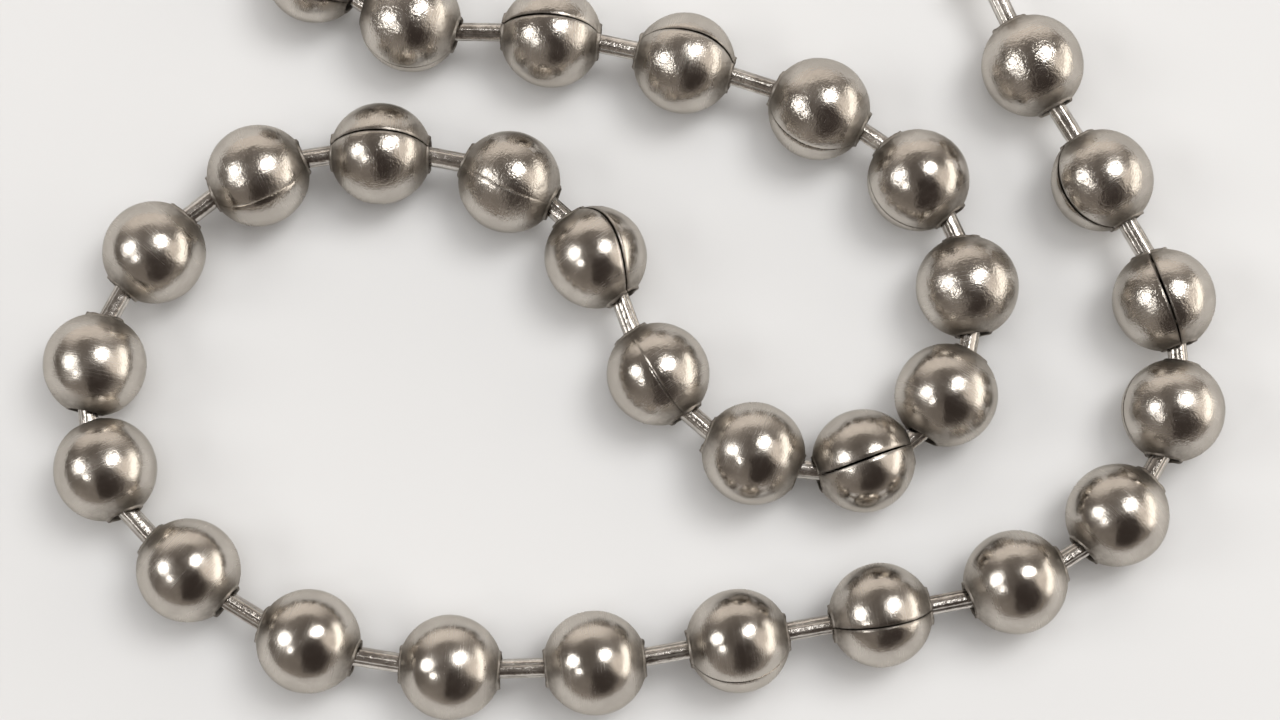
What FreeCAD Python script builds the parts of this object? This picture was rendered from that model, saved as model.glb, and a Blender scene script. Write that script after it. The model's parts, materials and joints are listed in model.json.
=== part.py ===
"""A length of ball chain: hollow steel balls strung on short wire links.

Each ball is rolled from strip, so it has a hole at each pole and one open seam from
hole to hole. Each link is a wire with a head in each of two neighbouring balls. The
heads are wider than the holes, so the chain holds together, and each link slides and
tilts in its two balls. The chain lies loose on a flat surface, in one long S: a small
loop, a large loop around it, and a tail at each end.

Units are millimetres. +Z is up and Z = 0 is the surface that the balls rest on. The
origin is at the middle of the footprint.
"""
import FreeCAD, Part
import math
import os
from FreeCAD import Vector

# ---- ball ----
ball_diameter = 3.2
wall = 0.2
hole_radius = 0.5
flat_to_flat = 3.0          # length over the flattened ends at the holes
seam_width = 0.07

# ---- link ----
wire_radius = 0.285
head_radius = 0.55
head_spacing = 2.80         # from head centre to head centre
head_tip = 0.12             # from a head's centre to its flat end
tip_edge_radius = 0.08

# ---- how a link sits in a ball ----
pivot_depth = 1.15          # from the ball's centre to the point that its link tilts about

# ---- how the chain lies ----
# One (heading, gap) pair for each link, in chain order. The heading is in degrees from
# +X towards +Y. The gap is the distance between the link's two tilting points: 2.2 on
# a link that is pulled out, and about half that where the balls are pushed together.
head_end = [(-33, 1.15), (-1, 2.2), (-12, 2.0), (-18, 2.2)]
small_loop = [(-34, 1.6), (-66, 1.5), (-101, 1.3), (-141, 1.15), (-185, 1.25), (-221, 1.65)]
crossover = [(-250, 1.9), (-222, 1.4), (-191, 1.9)]
large_loop = [(-171, 1.65), (-142, 1.8), (-118, 1.75), (-83, 1.1), (-47, 1.85), (-31, 2.05)]
long_run = [(-9, 2.15), (2, 2.15), (10, 2.15), (10, 2.15), (11, 2.0)]
last_bend = [(32, 1.55), (60, 1.5), (95, 1.25)]
tail_end = [(119, 1.95), (121, 1.95), (114, 2.0)]
lay = head_end + small_loop + crossover + large_loop + long_run + last_bend + tail_end

# One angle for each ball: where its seam is, in degrees about its axis. 0 is on top
# and +90 is on the left-hand side of someone who walks along the chain.
seam_angles = [
    -35, -80, 12, 28, -62, -75, 150, 115, 3, -160,
    8, -30, 18, -17, 42, 140, -120, 170, -95, 105,
    -150, 130, -56, -16, -110, 155, 84, 8, 62, -140,
]

ball_radius = ball_diameter / 2
link_count = len(lay)
ball_count = len(seam_angles)


def direction(angle):
    """The level unit vector at an angle in degrees from +X."""
    return Vector(math.cos(math.radians(angle)), math.sin(math.radians(angle)), 0)


def ball_headings():
    """Each ball's axis halves the turn between its two links, or follows its only link."""
    headings = [lay[0][0]]
    for before, after in zip(lay, lay[1:]):
        headings.append((before[0] + after[0]) / 2)
    return headings


def walk():
    """The ball centres, and the middle of each link, from the chain's first ball on."""
    headings = ball_headings() + [lay[-1][0]]
    centre = Vector(0, 0, ball_radius)
    centres = []
    middles = []
    for number, (heading, gap) in enumerate(lay):
        centres.append(centre)
        near_pivot = centre + direction(headings[number]) * pivot_depth
        far_pivot = near_pivot + direction(heading) * gap
        middles.append((near_pivot + far_pivot) / 2)
        centre = far_pivot + direction(headings[number + 1]) * pivot_depth
    return centres, middles


def lengthways(shape, heading, roll=0):
    """Turn a shape made along +Z to lie along a heading, with its +X side on top."""
    shape = shape.copy()
    shape.rotate(Vector(), Vector(0, 0, 1), 180 - roll)
    shape.rotate(Vector(), Vector(0, 1, 0), 90)
    shape.rotate(Vector(), Vector(0, 0, 1), heading)
    return shape


def ball():
    """A hollow ball on the Z axis, with flattened ends, two holes and its seam at +X."""
    shell = Part.makeSphere(ball_radius)
    ends = Part.makeCylinder(ball_radius, flat_to_flat, Vector(0, 0, -flat_to_flat / 2))
    shell = shell.common(ends)
    shell = shell.cut(Part.makeSphere(ball_radius - wall))
    holes = Part.makeCylinder(hole_radius, ball_diameter, Vector(0, 0, -ball_radius))
    shell = shell.cut(holes)
    seam = Part.makeBox(ball_diameter, seam_width, ball_diameter)
    seam.translate(Vector(0, -seam_width / 2, -ball_radius))
    return shell.cut(seam).Solids[0]


def link():
    """A wire on the Z axis with two equal heads: round towards the wire, flat at the tip."""
    shoulder = math.sqrt(head_radius ** 2 - wire_radius ** 2)
    tip_radius = math.sqrt(head_radius ** 2 - head_tip ** 2)
    head_centre = head_spacing / 2
    wire_end = head_centre - shoulder
    tip = head_centre + head_tip

    def round_head(side):
        neck = Vector(wire_radius, 0, side * wire_end)
        rim = Vector(tip_radius, 0, side * tip)
        widest = Vector(head_radius, 0, side * head_centre)
        return Part.Arc(neck, widest, rim).toShape()

    low, high = Vector(0, 0, -tip), Vector(0, 0, tip)
    low_rim, high_rim = Vector(tip_radius, 0, -tip), Vector(tip_radius, 0, tip)
    low_neck, high_neck = Vector(wire_radius, 0, -wire_end), Vector(wire_radius, 0, wire_end)
    outline = Part.Wire([
        Part.makeLine(low, low_rim),
        round_head(-1),
        Part.makeLine(low_neck, high_neck),
        round_head(1),
        Part.makeLine(high_rim, high),
        Part.makeLine(high, low),
    ])
    body = Part.Face(outline).revolve(Vector(), Vector(0, 0, 1), 360)
    tip_edges = []
    for edge in body.Edges:
        box = edge.BoundBox
        if box.ZLength < 1e-6 and abs(abs(box.ZMin) - tip) < 1e-6:
            tip_edges.append(edge)
    return body.makeFillet(tip_edge_radius, tip_edges).Solids[0]


def build():
    """Every ball and link as its own node, moved so that the origin is mid-footprint."""
    centres, middles = walk()
    headings = ball_headings()
    one_ball = ball()
    one_link = link()
    nodes = {}
    for number in range(ball_count):
        shape = lengthways(one_ball, headings[number], seam_angles[number])
        shape.translate(centres[number])
        nodes[f"ball_{number + 1:02d}"] = shape
    for number in range(link_count):
        shape = lengthways(one_link, lay[number][0])
        shape.translate(middles[number])
        nodes[f"link_{number + 1:02d}"] = shape
    footprint = Part.makeCompound(list(nodes.values())).BoundBox
    to_middle = Vector(-footprint.Center.x, -footprint.Center.y, -footprint.ZMin)
    for shape in nodes.values():
        shape.translate(to_middle)
    return nodes


os.makedirs("parts", exist_ok=True)
for name, solid in build().items():
    solid.exportStep(f"parts/{name}.step")
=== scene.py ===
"""The ball chain's looks: detailed balls and links, a pale floor and soft light.

Lengths in the shape code are in millimetres, as in the CAD source, and go into Blender in
metres. +Y is away from the camera, which looks down from almost straight above.
"""
import json
import math

import bpy
import numpy as np
from mathutils import Matrix, Vector

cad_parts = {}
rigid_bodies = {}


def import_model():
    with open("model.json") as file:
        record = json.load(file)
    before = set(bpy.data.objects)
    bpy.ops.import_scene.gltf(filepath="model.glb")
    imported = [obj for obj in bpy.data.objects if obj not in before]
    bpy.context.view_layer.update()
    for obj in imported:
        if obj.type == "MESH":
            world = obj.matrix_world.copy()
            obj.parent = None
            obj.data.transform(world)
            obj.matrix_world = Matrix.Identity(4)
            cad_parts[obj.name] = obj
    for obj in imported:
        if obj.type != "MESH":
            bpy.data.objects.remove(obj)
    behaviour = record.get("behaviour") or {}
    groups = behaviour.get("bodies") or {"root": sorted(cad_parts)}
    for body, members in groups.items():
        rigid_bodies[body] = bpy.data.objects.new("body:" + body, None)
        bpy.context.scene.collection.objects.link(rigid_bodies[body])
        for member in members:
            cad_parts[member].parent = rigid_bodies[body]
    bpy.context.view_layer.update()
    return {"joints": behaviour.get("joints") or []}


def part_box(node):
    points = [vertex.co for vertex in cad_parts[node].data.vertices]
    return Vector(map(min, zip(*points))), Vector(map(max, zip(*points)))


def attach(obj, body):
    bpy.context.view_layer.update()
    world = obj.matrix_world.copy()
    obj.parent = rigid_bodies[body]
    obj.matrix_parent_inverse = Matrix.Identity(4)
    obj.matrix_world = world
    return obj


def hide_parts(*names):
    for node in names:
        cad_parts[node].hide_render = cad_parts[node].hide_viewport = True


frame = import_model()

MM = 0.001

# ---- sizes shared with the CAD source, mm ----
BALL_RADIUS = 1.6
WALL = 0.2
WIRE_RADIUS = 0.285
HEAD_RADIUS = 0.55
HEAD_CENTRE = 1.40         # from the link's middle to a head's centre
HEAD_TIP = 0.12
BALL_COUNT = 30

# A link's gap is the distance between its two pivots, mm.
TIGHT_GAP = 1.1            # the collars are lowest here
LOOSE_GAP = 1.4            # and full from here on
FREE_GAP = 2.0             # at the chain's two free ends, where nothing lies close

# Where each ball's seam is, in degrees about its axis, as in the CAD source.
seam_angles = [
    -35, -80, 12, 28, -62, -75, 150, 115, 3, -160,
    8, -30, 18, -17, 42, 140, -120, 170, -95, 105,
    -150, 130, -56, -16, -110, 155, 84, 8, 62, -140,
]

# Seams that differ from the usual: ball -> (width, sideways S, edge step, taper). The first
# three are in mm. A taper of 1 shuts the seam at the chain's start side of the ball.
usual_seam = (0.045, 0.0, 0.012, 0.0)
seams = {
    2: (0.035, 0.0, 0.03, 0.0), 3: (0.06, -0.03, 0.015, -0.5), 4: (0.055, -0.03, 0.02, 0.9),
    5: (0.014, 0.0, 0.02, 0.0), 6: (0.05, 0.0, 0.025, 0.2), 9: (0.08, -0.05, 0.016, 0.2),
    11: (0.012, 0.04, 0.03, -0.8), 12: (0.06, 0.22, 0.035, 0.1), 13: (0.006, -0.05, 0.045, 0.0),
    14: (0.055, 0.0, 0.02, 0.0), 15: (0.006, -0.03, 0.04, 0.0), 23: (0.014, 0.0, 0.02, -0.8),
    24: (0.055, 0.02, 0.02, -0.2), 27: (0.02, 0.0, 0.012, 0.0), 28: (0.085, -0.04, 0.025, 0.3),
    29: (0.06, 0.0, 0.025, 0.0),
}

# How battered the plating is, from 0 to 1: on every link, on most balls, and on the others.
LINK_WEAR = 0.85
usual_wear = 0.28
wear = {
    2: 1.0, 3: 0.7, 4: 0.85, 5: 0.85, 6: 0.5, 7: 0.7, 11: 0.5, 13: 1.0, 14: 0.85, 15: 0.6,
    16: 0.45, 19: 0.1, 20: 0.05, 21: 0.05, 22: 0.1, 23: 0.15, 27: 0.6, 28: 0.85, 29: 0.8, 30: 1.0,
}

# Dents and bumps: ball -> (east, north, radius, depth), the place in ball radii seen from
# above, the rest in mm. A negative depth is a bump.
dents = {
    1: [(0.35, -0.45, 0.45, 0.02)],
    2: [(-0.30, 0.20, 0.9, 0.05), (0.45, -0.35, 0.5, 0.03)],
    7: [(-0.45, -0.35, 0.4, 0.012)],
    10: [(-0.48, -0.32, 0.22, 0.022), (0.05, -0.62, 0.12, -0.010)],
    12: [(0.38, -0.52, 0.22, 0.030)],
    13: [(-0.45, 0.08, 0.10, -0.016), (-0.30, 0.0, 0.09, -0.012), (0.62, -0.30, 0.25, 0.02)],
    15: [(-0.58, -0.15, 0.13, 0.014), (-0.45, -0.42, 0.16, -0.014)],
    16: [(-0.50, -0.40, 0.26, -0.02)],
    17: [(-0.40, -0.48, 0.22, -0.022), (0.35, 0.5, 0.4, 0.01)],
    18: [(-0.16, 0.06, 0.22, 0.014), (-0.02, -0.42, 0.25, -0.014)],
    26: [(-0.42, 0.30, 0.3, 0.012)],
    28: [(-0.05, -0.62, 0.28, 0.02)],
    29: [(-0.66, 0.52, 0.06, 0.030)],
    30: [(-0.35, -0.15, 0.35, 0.010)],
}


# ---- camera ----
def aim(thing, target):
    """Point an object's -Z at a place, with its +Y as far up the world's +Y as it goes."""
    back = (thing.location - target).normalized()
    side = Vector((0, 1, 0)).cross(back).normalized()
    turn = Matrix((side, back.cross(side), back)).transposed()
    thing.rotation_euler = turn.to_euler()


def look(target, elevation, distance, lens):
    """Put the scene's camera south of the target, at an elevation in degrees."""
    data = bpy.data.cameras.new("camera")
    data.lens = lens
    data.sensor_width = 36
    data.clip_start = 0.002
    data.clip_end = 20
    camera = bpy.data.objects.new("camera", data)
    rise = math.radians(elevation)
    back = Vector((0, -math.cos(rise), math.sin(rise)))
    camera.location = target + back * distance
    aim(camera, target)
    bpy.context.scene.collection.objects.link(camera)
    bpy.context.scene.camera = camera


look(target=Vector((0.21, -1.44, 1.6)) * MM, elevation=82.0, distance=0.0940, lens=85)


# ---- node helpers ----
class Nodes:
    """Short calls for building a node tree. An input is a number, a colour or a socket."""

    def __init__(self, tree):
        self.tree = tree
        tree.nodes.clear()

    def add(self, kind, inputs=(), **settings):
        node = self.tree.nodes.new(kind)
        for key, value in settings.items():
            setattr(node, key, value)
        for key, value in dict(inputs).items():
            self.feed(node.inputs[key], value)
        return node

    def feed(self, socket, value):
        if isinstance(value, bpy.types.NodeSocket):
            self.tree.links.new(value, socket)
        elif isinstance(value, bpy.types.Node):
            self.tree.links.new(value.outputs[0], socket)
        else:
            socket.default_value = value

    def math(self, operation, a, b=0.0, clamp=False):
        node = self.add("ShaderNodeMath", {0: a, 1: b}, operation=operation, use_clamp=clamp)
        return node.outputs[0]

    def ramp(self, value, low, high, to_low=0.0, to_high=1.0, smooth=True):
        """value from low..high mapped to to_low..to_high, held beyond both ends."""
        inputs = {
            "Value": value, "From Min": low, "From Max": high, "To Min": to_low, "To Max": to_high,
        }
        kind = "SMOOTHSTEP" if smooth else "LINEAR"
        return self.add("ShaderNodeMapRange", inputs, interpolation_type=kind).outputs[0]

    def mix(self, share, a, b):
        """Colour a where share is 0, and b where it is 1."""
        node = self.add("ShaderNodeMix", data_type="RGBA")
        self.feed(node.inputs[0], share)
        self.feed(node.inputs[6], a)
        self.feed(node.inputs[7], b)
        return node.outputs[2]

    def noise(self, vector, scale, detail=2.0, roughness=0.5, distortion=0.0):
        inputs = {
            "Vector": vector, "Scale": scale, "Detail": detail, "Roughness": roughness,
            "Distortion": distortion,
        }
        return self.add("ShaderNodeTexNoise", inputs).outputs[0]

    def attribute(self, name):
        return self.add("ShaderNodeAttribute", attribute_name=name).outputs["Fac"]

    def stretch(self, vector, scale):
        return self.add("ShaderNodeMapping", {"Vector": vector, "Scale": scale}).outputs[0]

    def bump(self, height, strength, distance, normal=None):
        """A normal bent by a height of 0 to 1. distance is in metres."""
        inputs = {"Height": height, "Strength": strength, "Distance": distance}
        if normal is not None:
            inputs["Normal"] = normal
        return self.add("ShaderNodeBump", inputs).outputs[0]


def new_material(name):
    material = bpy.data.materials.new(name)
    material.use_nodes = True
    return material, Nodes(material.node_tree)


# ---- materials ----
# How fine each noise in the plating is, in Blender's noise scale, per metre.
CLOUDS = 900
FINE = 5200
PATCHES = 420
SPECKS = 14000

# How high each kind of mark stands, in metres.
FINE_HEIGHT = 0.00002
STREAK_HEIGHT = 0.00001
SPECK_HEIGHT = 0.00001

# The dark grime colour: partly tarnish, partly painted shade in seams, holes and folds.
GRIME_AND_SHADE = (0.10, 0.085, 0.07, 1)


def plating(name, colour, dark, edge_tint, roughness, streak_scale):
    """Worn nickel: cloudy tone, streaks the way it was drawn, pits, and dark grime at the edges
    that is partly tarnish and partly painted shade.

    The mesh carries three marks from 0 to 1: grime (partly tarnish, partly painted shade), rub
    (dulled by the next piece) and battered. The last two raise the bumps.
    """
    material, n = new_material(name)
    place = n.add("ShaderNodeTexCoord").outputs["Object"]
    uv = n.add("ShaderNodeUVMap", uv_map="lay").outputs[0]
    grime_and_shade, rub, battered = n.attribute("grime_and_shade"), n.attribute("rub"), n.attribute("battered")
    clouds = n.noise(place, CLOUDS, 4, 0.6, 0.3)
    fine = n.noise(place, FINE, 3, 0.6)
    patches = n.noise(place, PATCHES, 2, 0.5)
    streaks = n.noise(n.stretch(uv, streak_scale), 1, 4, 0.65)
    specks = n.noise(place, SPECKS, 2, 0.5)

    tone = n.ramp(clouds, 0.32, 0.68)
    base = n.mix(tone, dark, colour)
    spotted = n.ramp(specks, 0.70, 0.80, 0.0, 0.45)
    base = n.mix(spotted, base, [v * 0.45 for v in dark[:3]] + [1])
    # Painted shade: the grime mark darkens seams, holes, folds and the link ends towards the dark
    # grime colour, partly as tarnish and partly as the shade in them.
    edge = n.math("MULTIPLY", grime_and_shade, n.ramp(fine, 0.25, 0.7, 0.45, 1.0), clamp=True)
    base = n.mix(edge, base, GRIME_AND_SHADE)

    rough = n.ramp(clouds, 0.3, 0.7, roughness - 0.06, roughness + 0.07)
    rough = n.math("ADD", rough, n.ramp(streaks, 0.45, 0.75, 0.0, 0.09))
    rough = n.math("ADD", rough, n.math("MULTIPLY", edge, 0.28))
    rough = n.math("ADD", rough, n.math("MULTIPLY", rub, 0.16), clamp=True)

    worn = n.math("MULTIPLY", n.ramp(patches, 0.34, 0.58, 0.45, 1.0), battered)
    worn = n.math("ADD", worn, n.math("MULTIPLY", rub, 0.35), clamp=True)
    normal = None
    for marks, height, least, most in (
        (fine, FINE_HEIGHT, 0.08, 0.95),
        (streaks, STREAK_HEIGHT, 0.08, 0.36),
        (specks, SPECK_HEIGHT, 0.06, 1.0),
    ):
        strength = n.ramp(worn, 0.0, 1.0, least, most, smooth=False)
        normal = n.bump(marks, strength, height, normal)

    shader = n.add("ShaderNodeBsdfPrincipled", {
        "Base Color": base, "Roughness": rough, "Normal": normal,
    })
    shader.inputs["Metallic"].default_value = 1.0
    shader.inputs["Specular Tint"].default_value = edge_tint
    n.add("ShaderNodeOutputMaterial", {"Surface": shader})
    return material


def inside(name):
    """The unpolished inner face of a ball: dull, blotchy, very dark grey, partly oxide and partly
    painted shade of the hollow inside.
    """
    material, n = new_material(name)
    place = n.add("ShaderNodeTexCoord").outputs["Object"]
    blotches = n.noise(place, 2500, 3, 0.6)
    # Very dark, partly oxide and partly painted shade inside the ball and its holes.
    base = n.mix(blotches, (0.10, 0.09, 0.08, 1), (0.26, 0.24, 0.21, 1))
    rough = n.ramp(blotches, 0.3, 0.7, 0.5, 0.7)
    normal = n.bump(n.noise(place, 9000, 3, 0.6), 0.3, 0.00002)
    shader = n.add("ShaderNodeBsdfPrincipled", {
        "Base Color": base, "Roughness": rough, "Normal": normal,
    })
    shader.inputs["Metallic"].default_value = 1.0
    n.add("ShaderNodeOutputMaterial", {"Surface": shader})
    return material


def pale_floor(name):
    """A matt pale plastic top, very slightly uneven in tone."""
    material, n = new_material(name)
    place = n.add("ShaderNodeTexCoord").outputs["Object"]
    cloud = n.noise(place, 45, 3, 0.5)
    base = n.mix(cloud, (0.628, 0.629, 0.627, 1), (0.667, 0.668, 0.668, 1))
    grain = n.noise(place, 1500, 3, 0.5)
    normal = n.bump(grain, 0.06, 0.00005)
    shader = n.add("ShaderNodeBsdfPrincipled", {"Base Color": base, "Normal": normal})
    shader.inputs["Roughness"].default_value = 0.55
    shader.inputs["Specular IOR Level"].default_value = 0.3
    n.add("ShaderNodeOutputMaterial", {"Surface": shader})
    return material


ball_metal = plating(
    "ball_nickel",
    colour=(0.62, 0.58, 0.53, 1),
    dark=(0.50, 0.465, 0.422, 1),
    edge_tint=(0.70, 0.68, 0.65, 1),
    roughness=0.19,
    streak_scale=(3.0, 60, 1),
)
# The links' nickel is lighter than the balls': painted sheen for the brighter reflections along
# the wires.
link_metal_with_painted_sheen = plating(
    "link_nickel_with_painted_sheen",
    colour=(0.78, 0.745, 0.70, 1),
    dark=(0.50, 0.47, 0.435, 1),
    edge_tint=(0.45, 0.43, 0.40, 1),
    roughness=0.20,
    streak_scale=(26, 1.5, 1),
)
inner_metal_oxide_and_shade = inside("ball_inside_oxide_and_shade")


# ---- shape helpers ----
def lengthways(heading, roll=0):
    """The turn that lays a shape made along +Z along a heading, with its +X side on top."""
    return (
        Matrix.Rotation(math.radians(heading), 3, "Z")
        @ Matrix.Rotation(math.radians(90), 3, "Y")
        @ Matrix.Rotation(math.radians(180 - roll), 3, "Z")
    )


def waves(points, seed, count, low, high):
    """Smooth seeded unevenness between about -1 and 1 at each point, from a sum of waves."""
    rng = np.random.RandomState(seed)
    total = np.zeros(len(points))
    for _ in range(count):
        way = rng.normal(size=3)
        way *= rng.uniform(low, high) / np.linalg.norm(way)
        total += np.cos(points @ way + rng.uniform(0, 2 * math.pi))
    return total / math.sqrt(count)


def bell(distance, width):
    """1 at no distance, and falling away to nothing past about twice the width."""
    return np.exp(-(distance / width) ** 2)


SHARP = math.radians(38)   # edges that turn more than this aren't shaded smooth


def add_piece(name, points, faces, uvs, marks, metals, face_metals=None):
    """A smooth mesh piece from points in metres, on the body and node of the same name.

    uvs and marks have one row for each point. face_metals picks from metals for each face.
    """
    mesh = bpy.data.meshes.new(name)
    mesh.from_pydata(points.tolist(), [], faces)
    layer = mesh.uv_layers.new(name="lay")
    corners = np.zeros(len(mesh.loops), dtype=np.int32)
    mesh.loops.foreach_get("vertex_index", corners)
    layer.data.foreach_set("uv", uvs[corners].astype(np.float32).ravel())
    for mark, amount in marks.items():
        attribute = mesh.attributes.new(mark, "FLOAT", "POINT")
        attribute.data.foreach_set("value", amount.astype(np.float32))
    for metal in metals:
        mesh.materials.append(metal)
    if face_metals is not None:
        mesh.polygons.foreach_set("material_index", face_metals)
    mesh.shade_smooth()
    mesh.set_sharp_from_angle(angle=SHARP)
    mesh.update()
    piece = bpy.data.objects.new("visual_" + name, mesh)
    bpy.context.scene.collection.objects.link(piece)
    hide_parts(name)
    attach(piece, name)


# ---- balls ----
ACROSS = 50                # steps from hole to hole
AROUND = 84                # steps round the ball, from one edge of the seam to the other
END_RADIUS = 0.68          # where the round outside gives way to the flattened end
INNER_END_RADIUS = 0.56    # the same on the inside
PLATED_LIP = 9             # points of the lip that are plated, counted from the outside
COLLAR_START = 1.48        # how far from the ball's centre the collar begins to stand proud

ROLL_DEPTH = 0.018         # how far the seam's edges roll in
ROLL_WIDTH = 0.05          # how far from an edge that roll reaches
STEP_WIDTH = 0.30          # how far from the seam the step between its edges dies away
SEAM_DRIFT = 0.02          # how far a seam strays from its angle

# Outside to inside: the flattened end, a short collar round the hole, then the hole.
LIP = np.array([
    (0.645, 1.462), (0.620, 1.477), (0.603, 1.497), (0.595, 1.520), (0.587, 1.540),
    (0.570, 1.553), (0.548, 1.554), (0.527, 1.545), (0.510, 1.520), (0.503, 1.485),
    (0.501, 1.44), (0.501, 1.38), (0.505, 1.33), (0.525, 1.295),
])
FREE_LIP = slice(3, 11)    # the points of the lip that wave and carry the burr


def arc(radius, end_radius):
    """(from the axis, along the axis) points of a ball's round part, from +Z to -Z."""
    start = math.asin(end_radius / radius)
    turn = np.linspace(start, math.pi - start, ACROSS + 1)
    return np.stack([radius * np.sin(turn), radius * np.cos(turn)], axis=1)


def ball_section():
    """The closed section of a ball's wall: outside, low lip, inside, top lip."""
    outer = arc(BALL_RADIUS, END_RADIUS)
    inner = arc(BALL_RADIUS - WALL, INNER_END_RADIUS)
    return np.concatenate([outer, LIP * (1, -1), inner[::-1], LIP[::-1]])


def ball_steps():
    """Shares from 0 to 1 round the ball, close together near both edges of the seam."""
    near = np.array([0, 0.0016, 0.0038, 0.0068, 0.011, 0.017, 0.026])
    middle = np.linspace(0.036, 0.964, AROUND + 1 - 2 * len(near))
    return np.concatenate([near, middle, 1 - near[::-1]])


def collar(points, free, gaps, rng):
    """Shape the lips: a cut edge that waves a little, with one small burr on each.

    They are lower where the next ball lies close. free says which points may wave.
    """
    after_side = (points[:, 2] > 0).astype(int)
    outwards = np.sign(points[:, 2])
    room = np.clip((np.array(gaps) - TIGHT_GAP) / (LOOSE_GAP - TIGHT_GAP), 0, 1)[after_side]
    proud = np.clip(np.abs(points[:, 2]) - COLLAR_START, 0, None)
    points[:, 2] -= outwards * proud * 0.75 * (1 - room)
    angle = np.arctan2(points[:, 1], points[:, 0])
    burr = rng.uniform(-math.pi, math.pi, 2)[after_side]
    height = 0.009 * np.sin(3 * angle + burr) + 0.007 * np.sin(8 * angle - 3 * burr)
    height += 0.022 * bell(np.cos(angle - burr) - 1, 0.12)
    points[:, 2] += np.where(free, outwards * height * room, 0)


def ball_faces(rows, columns):
    """The wall's faces and the two cut faces at the seam, with 1 for each unplated face."""
    index = np.arange(rows * columns).reshape(rows, columns)
    plated = np.ones(rows, dtype=bool)
    plated[ACROSS + 1 + PLATED_LIP:rows - PLATED_LIP] = False
    faces, metal = [], []
    for row in range(rows):
        after = (row + 1) % rows
        kind = 0 if plated[row] and plated[after] else 1
        for column in range(columns - 1):
            faces.append((
                index[row, column], index[after, column],
                index[after, column + 1], index[row, column + 1],
            ))
            metal.append(kind)

    inner_start = ACROSS + 1 + len(LIP)
    inner_stop = rows - len(LIP) - 1
    for column, flip in ((0, False), (columns - 1, True)):
        edge = index[:, column]
        strip = [
            (edge[i], edge[i + 1], edge[inner_stop - 1 - i], edge[inner_stop - i])
            for i in range(ACROSS)
        ]
        strip.append(tuple(edge[ACROSS:inner_start + 1]))
        strip.append((*edge[inner_stop:], edge[0]))
        for face in strip:
            faces.append(face if flip else face[::-1])
            metal.append(0)
    return [tuple(int(v) for v in face) for face in faces], metal


def make_ball(number, centre, axis, gaps):
    """One ball, with its holes along axis. gaps holds the gaps of its two links."""
    heading = math.degrees(math.atan2(axis.y, axis.x))
    turn = np.array(lengthways(heading, seam_angles[number - 1]))
    width, swing, step, taper = seams.get(number, usual_seam)
    rng = np.random.RandomState(400 + number)
    section = ball_section()
    rows, columns = len(section), AROUND + 1
    away, along = section[:, 0], section[:, 1]

    # The seam: its middle swings sideways and its width narrows towards the holes.
    reach = np.clip(away / BALL_RADIUS, 0, 1)
    middle = swing * np.sin(2 * np.arctan2(along, away)) + SEAM_DRIFT * rng.uniform(-1, 1)
    shut = np.clip(1 + taper * along / BALL_RADIUS, 0.12, 2)
    half = 0.5 * width * (0.35 + 0.65 * reach) * shut
    start = np.arcsin((middle + half) / away)
    stop = 2 * math.pi + np.arcsin((middle - half) / away)
    share = ball_steps()
    angle = start[:, None] + (stop - start)[:, None] * share[None, :]

    # The seam's edges roll in, and one stands a little prouder than the other.
    from_start = away[:, None] * (angle - start[:, None])
    from_stop = away[:, None] * (stop[:, None] - angle)
    lift = -ROLL_DEPTH * bell(from_start, ROLL_WIDTH)
    lift -= ROLL_DEPTH * bell(from_stop, ROLL_WIDTH)
    side = rng.choice([-1, 1])
    lift += side * 0.5 * step * bell(from_start, STEP_WIDTH)
    lift -= side * 0.5 * step * bell(from_stop, STEP_WIDTH)
    lift *= reach[:, None] ** 2

    # Unevenness and dents, fading out towards the holes.
    x = away[:, None] * np.cos(angle)
    y = away[:, None] * np.sin(angle)
    z = np.repeat(along[:, None], columns, axis=1)
    points = np.stack([x, y, z], axis=2).reshape(-1, 3)
    length = np.linalg.norm(points, axis=1)
    unit = points / length[:, None]
    mid = np.clip((0.95 - np.abs(unit[:, 2])) / 0.25, 0, 1)
    uneven = 0.009 * waves(unit, 7 * number, 6, 1.5, 3.5)
    uneven += 0.0042 * waves(unit, 7 * number + 1, 12, 5, 12)
    lift = lift.ravel() + uneven * mid
    world = unit @ turn.T
    for east, north, radius, depth in dents.get(number, []):
        spot = np.array([east, north, math.sqrt(1 - east ** 2 - north ** 2)])
        gap = np.linalg.norm(world - spot, axis=1) * BALL_RADIUS
        lift -= depth * bell(gap, radius) * mid
    points = unit * (length + lift)[:, None]

    free = np.zeros(rows, dtype=bool)
    free[ACROSS + 1:][FREE_LIP] = True
    free[::-1][FREE_LIP] = True
    collar(points, np.repeat(free, columns), gaps, rng)
    faces, metal = ball_faces(rows, columns)

    # Marks for the plating: dark grime at the seam and towards the holes, partly tarnish and
    # partly painted shade in the gap and where the links and the next ball shade the ends, and
    # rubbing near the holes.
    height = np.abs(z.ravel())
    seam_dirt_and_shade = bell(np.minimum(from_start, from_stop), 0.05)
    # The wider the seam's gap, the darker: partly painted shade in the gap.
    seam_dirt_and_shade *= 0.85 * np.clip(width * shut / usual_seam[0], 0.1, 1)[:, None]
    hole_dirt_and_shade = np.clip((height - 1.47) / 0.06, 0, 1) * 0.8
    end_dirt_and_shade = np.clip((height - 1.05) / 0.40, 0, 1) * 0.48
    marks = {
        "grime_and_shade": np.maximum(seam_dirt_and_shade.ravel(), np.maximum(hole_dirt_and_shade, end_dirt_and_shade)),
        "rub": np.clip((height - 0.95) / 0.45, 0, 1),
        "battered": np.full(len(points), wear.get(number, usual_wear)),
    }
    across = z.ravel() / (2 * BALL_RADIUS) + 0.5
    uvs = np.stack([np.tile(share, rows) + number, across], axis=1)
    placed = (points @ turn.T + np.array(centre)) * MM
    metals = [ball_metal, inner_metal_oxide_and_shade]
    add_piece(f"ball_{number:02d}", placed, faces, uvs, marks, metals, metal)


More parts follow.
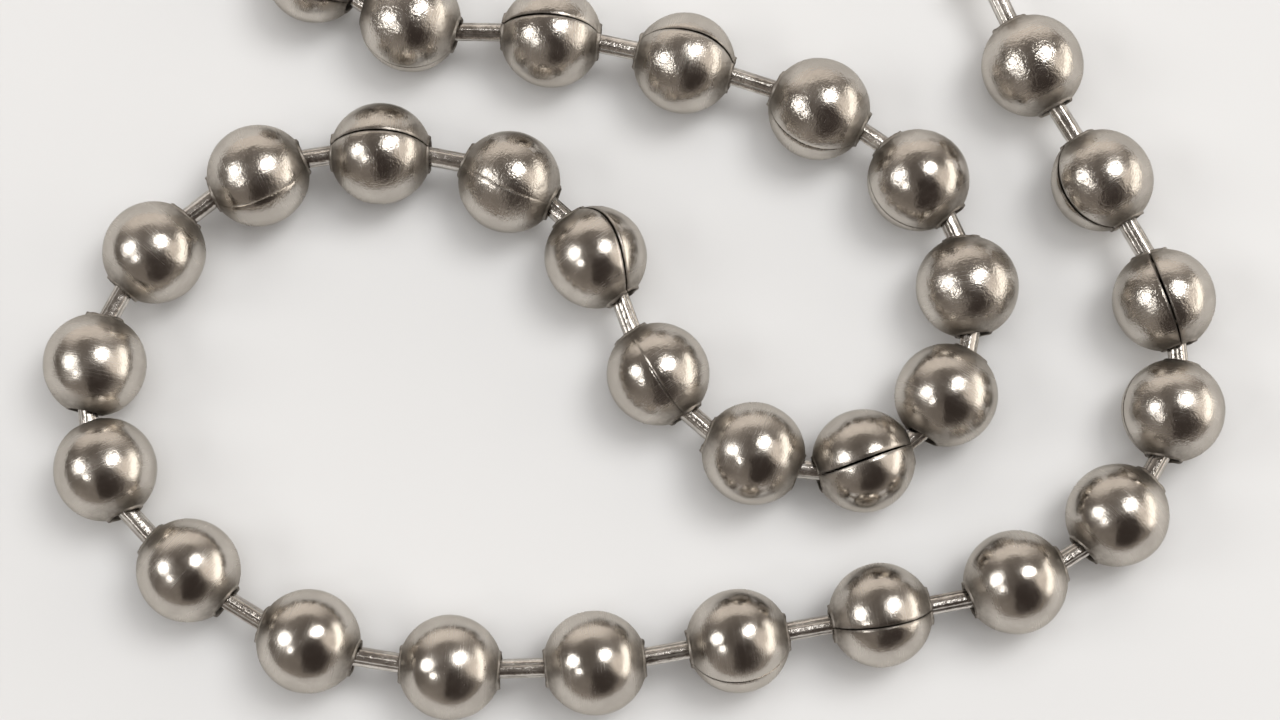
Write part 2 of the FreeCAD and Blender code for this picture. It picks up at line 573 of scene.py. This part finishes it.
# ---- links ----
LINK_AROUND = 54           # steps round the wire
FLAT_COUNT = 6             # flats round the wire
RIDGE = 1.085              # the radius between two flats, as a share of the wire's radius
FLAT_SHARE = 0.45          # how flat the flats are: 0 is round, 1 is flat
FOLD_DEPTH = 0.075         # as a share of the wire's radius
FOLD_WIDTH = 0.11          # in radians
FOLD_PLACES = ((-1.2, -0.3), (0.3, 1.2), (2.2, 4.2))    # where each fold may be, in radians
LAP = 6.28                 # the angle that is 1 across the wire's UV map


def link_profile():
    """(from the axis, along the axis) points of a link from its low tip to its high tip."""
    neck = math.sqrt(HEAD_RADIUS ** 2 - WIRE_RADIUS ** 2)
    tip = math.sqrt(HEAD_RADIUS ** 2 - HEAD_TIP ** 2)
    first, last = math.atan2(WIRE_RADIUS, -neck), math.atan2(tip - 0.03, HEAD_TIP)
    head = [
        (HEAD_RADIUS * math.sin(t), HEAD_CENTRE + HEAD_RADIUS * math.cos(t))
        for t in np.linspace(first, last, 12)
    ]
    end = HEAD_CENTRE + HEAD_TIP
    cap = [(tip - 0.06, end - 0.004), (tip - 0.16, end), (0.2, end), (0.08, end)]
    wire = [(WIRE_RADIUS, z) for z in np.linspace(0, HEAD_CENTRE - neck - 0.04, 26)]
    half = np.array(wire + head + cap)
    return np.concatenate([half[::-1] * (1, -1), half[1:]])


def wire_outline(angle, rng):
    """The drawn wire's radius at each angle, as a share of the nominal, and its folds."""
    spread = math.pi / (FLAT_COUNT / 2)
    corners = np.sort(rng.uniform(0, 0.5, FLAT_COUNT) + np.arange(FLAT_COUNT) * spread)
    facet = np.zeros(len(angle))
    for low, high in zip(corners, [*corners[1:], corners[0] + 2 * math.pi]):
        turned = (angle - low) % (2 * math.pi)
        on_flat = turned < high - low
        reach = math.cos((high - low) / 2) / np.cos(turned - (high - low) / 2)
        facet[on_flat] = reach[on_flat]
    oval = 0.005 * np.cos(2 * angle - rng.uniform(0, 6))
    folds = np.zeros(len(angle))
    for low, high in FOLD_PLACES:
        from_fold = np.angle(np.exp(1j * (angle - rng.uniform(low, high))))
        folds += bell(from_fold, FOLD_WIDTH)
    return RIDGE - FLAT_SHARE * (1 - facet) + oval - FOLD_DEPTH * folds, folds


def link_faces(rows):
    """The faces from ring to ring, and one at each tip."""
    index = np.arange(rows * LINK_AROUND).reshape(rows, LINK_AROUND)
    faces = []
    for row in range(rows - 1):
        for k in range(LINK_AROUND):
            k2 = (k + 1) % LINK_AROUND
            faces.append((index[row, k], index[row, k2], index[row + 1, k2], index[row + 1, k]))
    faces.append(tuple(index[0, ::-1]))
    faces.append(tuple(index[-1, :]))
    return [tuple(int(v) for v in face) for face in faces]


def make_link(number, middle, way):
    """One link about its middle, with its axis along way."""
    heading = math.degrees(math.atan2(way.y, way.x))
    turn = np.array(lengthways(heading))
    rng = np.random.RandomState(900 + number)
    section = link_profile()
    away, along = section[:, 0], section[:, 1]
    rows = len(section)
    angle = np.linspace(0, 2 * math.pi, LINK_AROUND, endpoint=False)
    outline, folds = wire_outline(angle, rng)

    on_wire = np.clip((HEAD_CENTRE - 0.45 - np.abs(along)) / 0.12, 0, 1)[:, None]
    radius = away[:, None] * (1 + on_wire * (outline - 1)[None, :])
    z = np.repeat(along[:, None], LINK_AROUND, axis=1)
    points = np.stack([radius * np.cos(angle), radius * np.sin(angle), z], axis=2)
    points = points.reshape(-1, 3)
    worn_off = np.abs(waves(points, 31 * number, 14, 5, 20) * 0.003)
    from_axis = np.maximum(np.linalg.norm(points[:, :2], axis=1), 0.1)
    points[:, :2] *= (1 - worn_off / from_axis)[:, None]

    # Marks for the plating: dark grime in the folds and towards the heads, partly tarnish and
    # partly painted shade in the creases and where the balls shade the wire.
    fold_dirt_and_shade = folds[None, :] * on_wire * 0.7
    head_dirt_and_shade = np.clip((np.abs(along) - 0.85) / 0.3, 0, 1)[:, None] * 0.5
    marks = {
        "grime_and_shade": np.maximum(fold_dirt_and_shade, head_dirt_and_shade).ravel(),
        "rub": np.zeros(len(points)),
        "battered": np.full(len(points), LINK_WEAR),
    }
    uvs = np.stack([np.tile(angle, rows) / LAP + number, z.ravel()], axis=1)
    placed = (points @ turn.T + np.array(middle)) * MM
    name, faces = f"link_{number:02d}", link_faces(rows)
    add_piece(name, placed, faces, uvs, marks, [link_metal_with_painted_sheen])


# ---- every ball and link, where the frame has them ----
def box_centre(node):
    """The middle of a CAD node's box, mm."""
    low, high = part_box(node)
    return (low + high) / 2 / MM


pivots = {
    frozenset((joint["parent"], joint["child"])): Vector(joint["pos_m"]) / MM
    for joint in frame["joints"]
}


def pivot(a, b):
    """The point that two neighbours tilt about, or None past the chain's free ends."""
    return pivots.get(frozenset((a, b)))


last_gap = FREE_GAP
for number in range(1, BALL_COUNT + 1):
    ball, link = f"ball_{number:02d}", f"link_{number:02d}"
    before = pivot(f"link_{number - 1:02d}", ball) or box_centre(ball)
    after = pivot(ball, link)
    onward = pivot(link, f"ball_{number + 1:02d}") or box_centre(link)
    gap = (onward - after).length if number < BALL_COUNT else FREE_GAP
    make_ball(number, box_centre(ball), after - before, (last_gap, gap))
    make_link(number, box_centre(link), onward - after)
    last_gap = gap


# ---- floor ----
FLOOR_HALF = 1.5
FLOOR_DROP = 0.00001       # just clear of the balls' lowest points

mesh = bpy.data.meshes.new("floor")
corners = [(x * FLOOR_HALF, y * FLOOR_HALF, 0) for x, y in ((-1, -1), (1, -1), (1, 1), (-1, 1))]
mesh.from_pydata(corners, [], [(0, 1, 2, 3)])
mesh.materials.append(pale_floor("floor_plastic"))
floor = bpy.data.objects.new("floor", mesh)
floor.location.z = -FLOOR_DROP
bpy.context.scene.collection.objects.link(floor)


# ---- light ----
def toward(azimuth, elevation):
    """The direction at an azimuth from +X towards +Y and an elevation, in degrees."""
    a, e = math.radians(azimuth), math.radians(elevation)
    return Vector((math.cos(a) * math.cos(e), math.sin(a) * math.cos(e), math.sin(e)))


LIGHT_DISTANCE = 0.5       # m


def soft_light(name, azimuth, elevation, wide, tall, brightness, colour):
    """A round area light. wide and tall are the angles that it fills, in degrees."""
    data = bpy.data.lights.new(name, "AREA")
    data.shape = "ELLIPSE"
    data.size = 2 * LIGHT_DISTANCE * math.tan(math.radians(wide / 2))
    data.size_y = 2 * LIGHT_DISTANCE * math.tan(math.radians(tall / 2))
    area = data.size * data.size_y * math.pi / 4
    data.energy = 4 * area * brightness
    data.color = colour
    light = bpy.data.objects.new(name, data)
    light.location = toward(azimuth, elevation) * LIGHT_DISTANCE
    back = light.location.normalized()
    level = Vector((0, 0, 1)).cross(back).normalized()
    light.rotation_euler = Matrix((level, back.cross(level), back)).transposed().to_euler()
    light.visible_camera = False
    bpy.context.scene.collection.objects.link(light)
    return light


# The first three are the bright spots on each ball. The fill isn't seen in reflections.
soft_light("key", 37, 61, 20, 27, 5.6, (1.0, 0.995, 0.985))
soft_light("left", 178, 41, 23, 28, 3.2, (1.0, 0.99, 0.97))
soft_light("left_small", 211, 49, 11, 11, 4.5, (1.0, 0.99, 0.97))
fill = soft_light("fill", 48, 80, 62, 62, 1.65, (0.985, 0.99, 1.0))
fill.visible_glossy = False


def room_light():
    """The room round the table: bright to the north and east, dark overhead and nearby."""
    world = bpy.data.worlds.new("room")
    bpy.context.scene.world = world
    world.use_nodes = True
    n = Nodes(world.node_tree)
    way = n.add("ShaderNodeTexCoord").outputs["Generated"]
    parts = n.add("ShaderNodeSeparateXYZ", {0: way})
    east, height = parts.outputs[0], parts.outputs[2]

    def patch(colour, under, azimuth, elevation, inner, outer, within=1.0):
        """A soft round patch of one colour; inner and outer are the angles where it fades."""
        aimed = n.add("ShaderNodeVectorMath", operation="DOT_PRODUCT")
        n.feed(aimed.inputs[0], way)
        aimed.inputs[1].default_value = toward(azimuth, elevation)
        low, high = math.cos(math.radians(outer)), math.cos(math.radians(inner))
        share = n.ramp(aimed.outputs["Value"], low, high)
        return n.mix(n.math("MULTIPLY", share, within), under, colour)

    low_glow = n.mix(n.ramp(height, -0.05, 0.5), (0.36, 0.32, 0.285, 1), (0.25, 0.22, 0.195, 1))
    glow = n.mix(n.ramp(height, 0.6, 1.0), low_glow, (0.15, 0.13, 0.115, 1))
    dim_west = (0.17, 0.148, 0.13, 1)
    glow = patch(dim_west, glow, 180, 0, 20, 48)
    bright_north = (0.98, 0.90, 0.82, 1)
    glow = patch(bright_north, glow, 100, 6, 20, 52, n.ramp(height, 0.60, 0.50))
    bright_east = (1.05, 0.95, 0.85, 1)
    glow = patch(bright_east, glow, 0, 34, 10, 28)
    round_the_key = (0.8, 0.74, 0.67, 1)
    glow = patch(round_the_key, glow, 34, 59, 10, 20)
    bar = n.math("MULTIPLY", n.ramp(height, 0.0, 0.12), n.ramp(height, 0.46, 0.30))
    bright_bar = (2.4, 2.27, 2.08, 1)
    glow = patch(bright_bar, glow, 6, 13, 17, 34, bar)
    dark_nearby = (0.060, 0.048, 0.042, 1)
    glow = patch(dark_nearby, glow, -74, 46, 24, 46, n.ramp(east, -0.18, -0.10))
    background = n.add("ShaderNodeBackground", {"Color": glow, "Strength": 1.0})
    n.add("ShaderNodeOutputWorld", {"Surface": background})


room_light()
bpy.context.scene.view_settings.view_transform = "Standard"
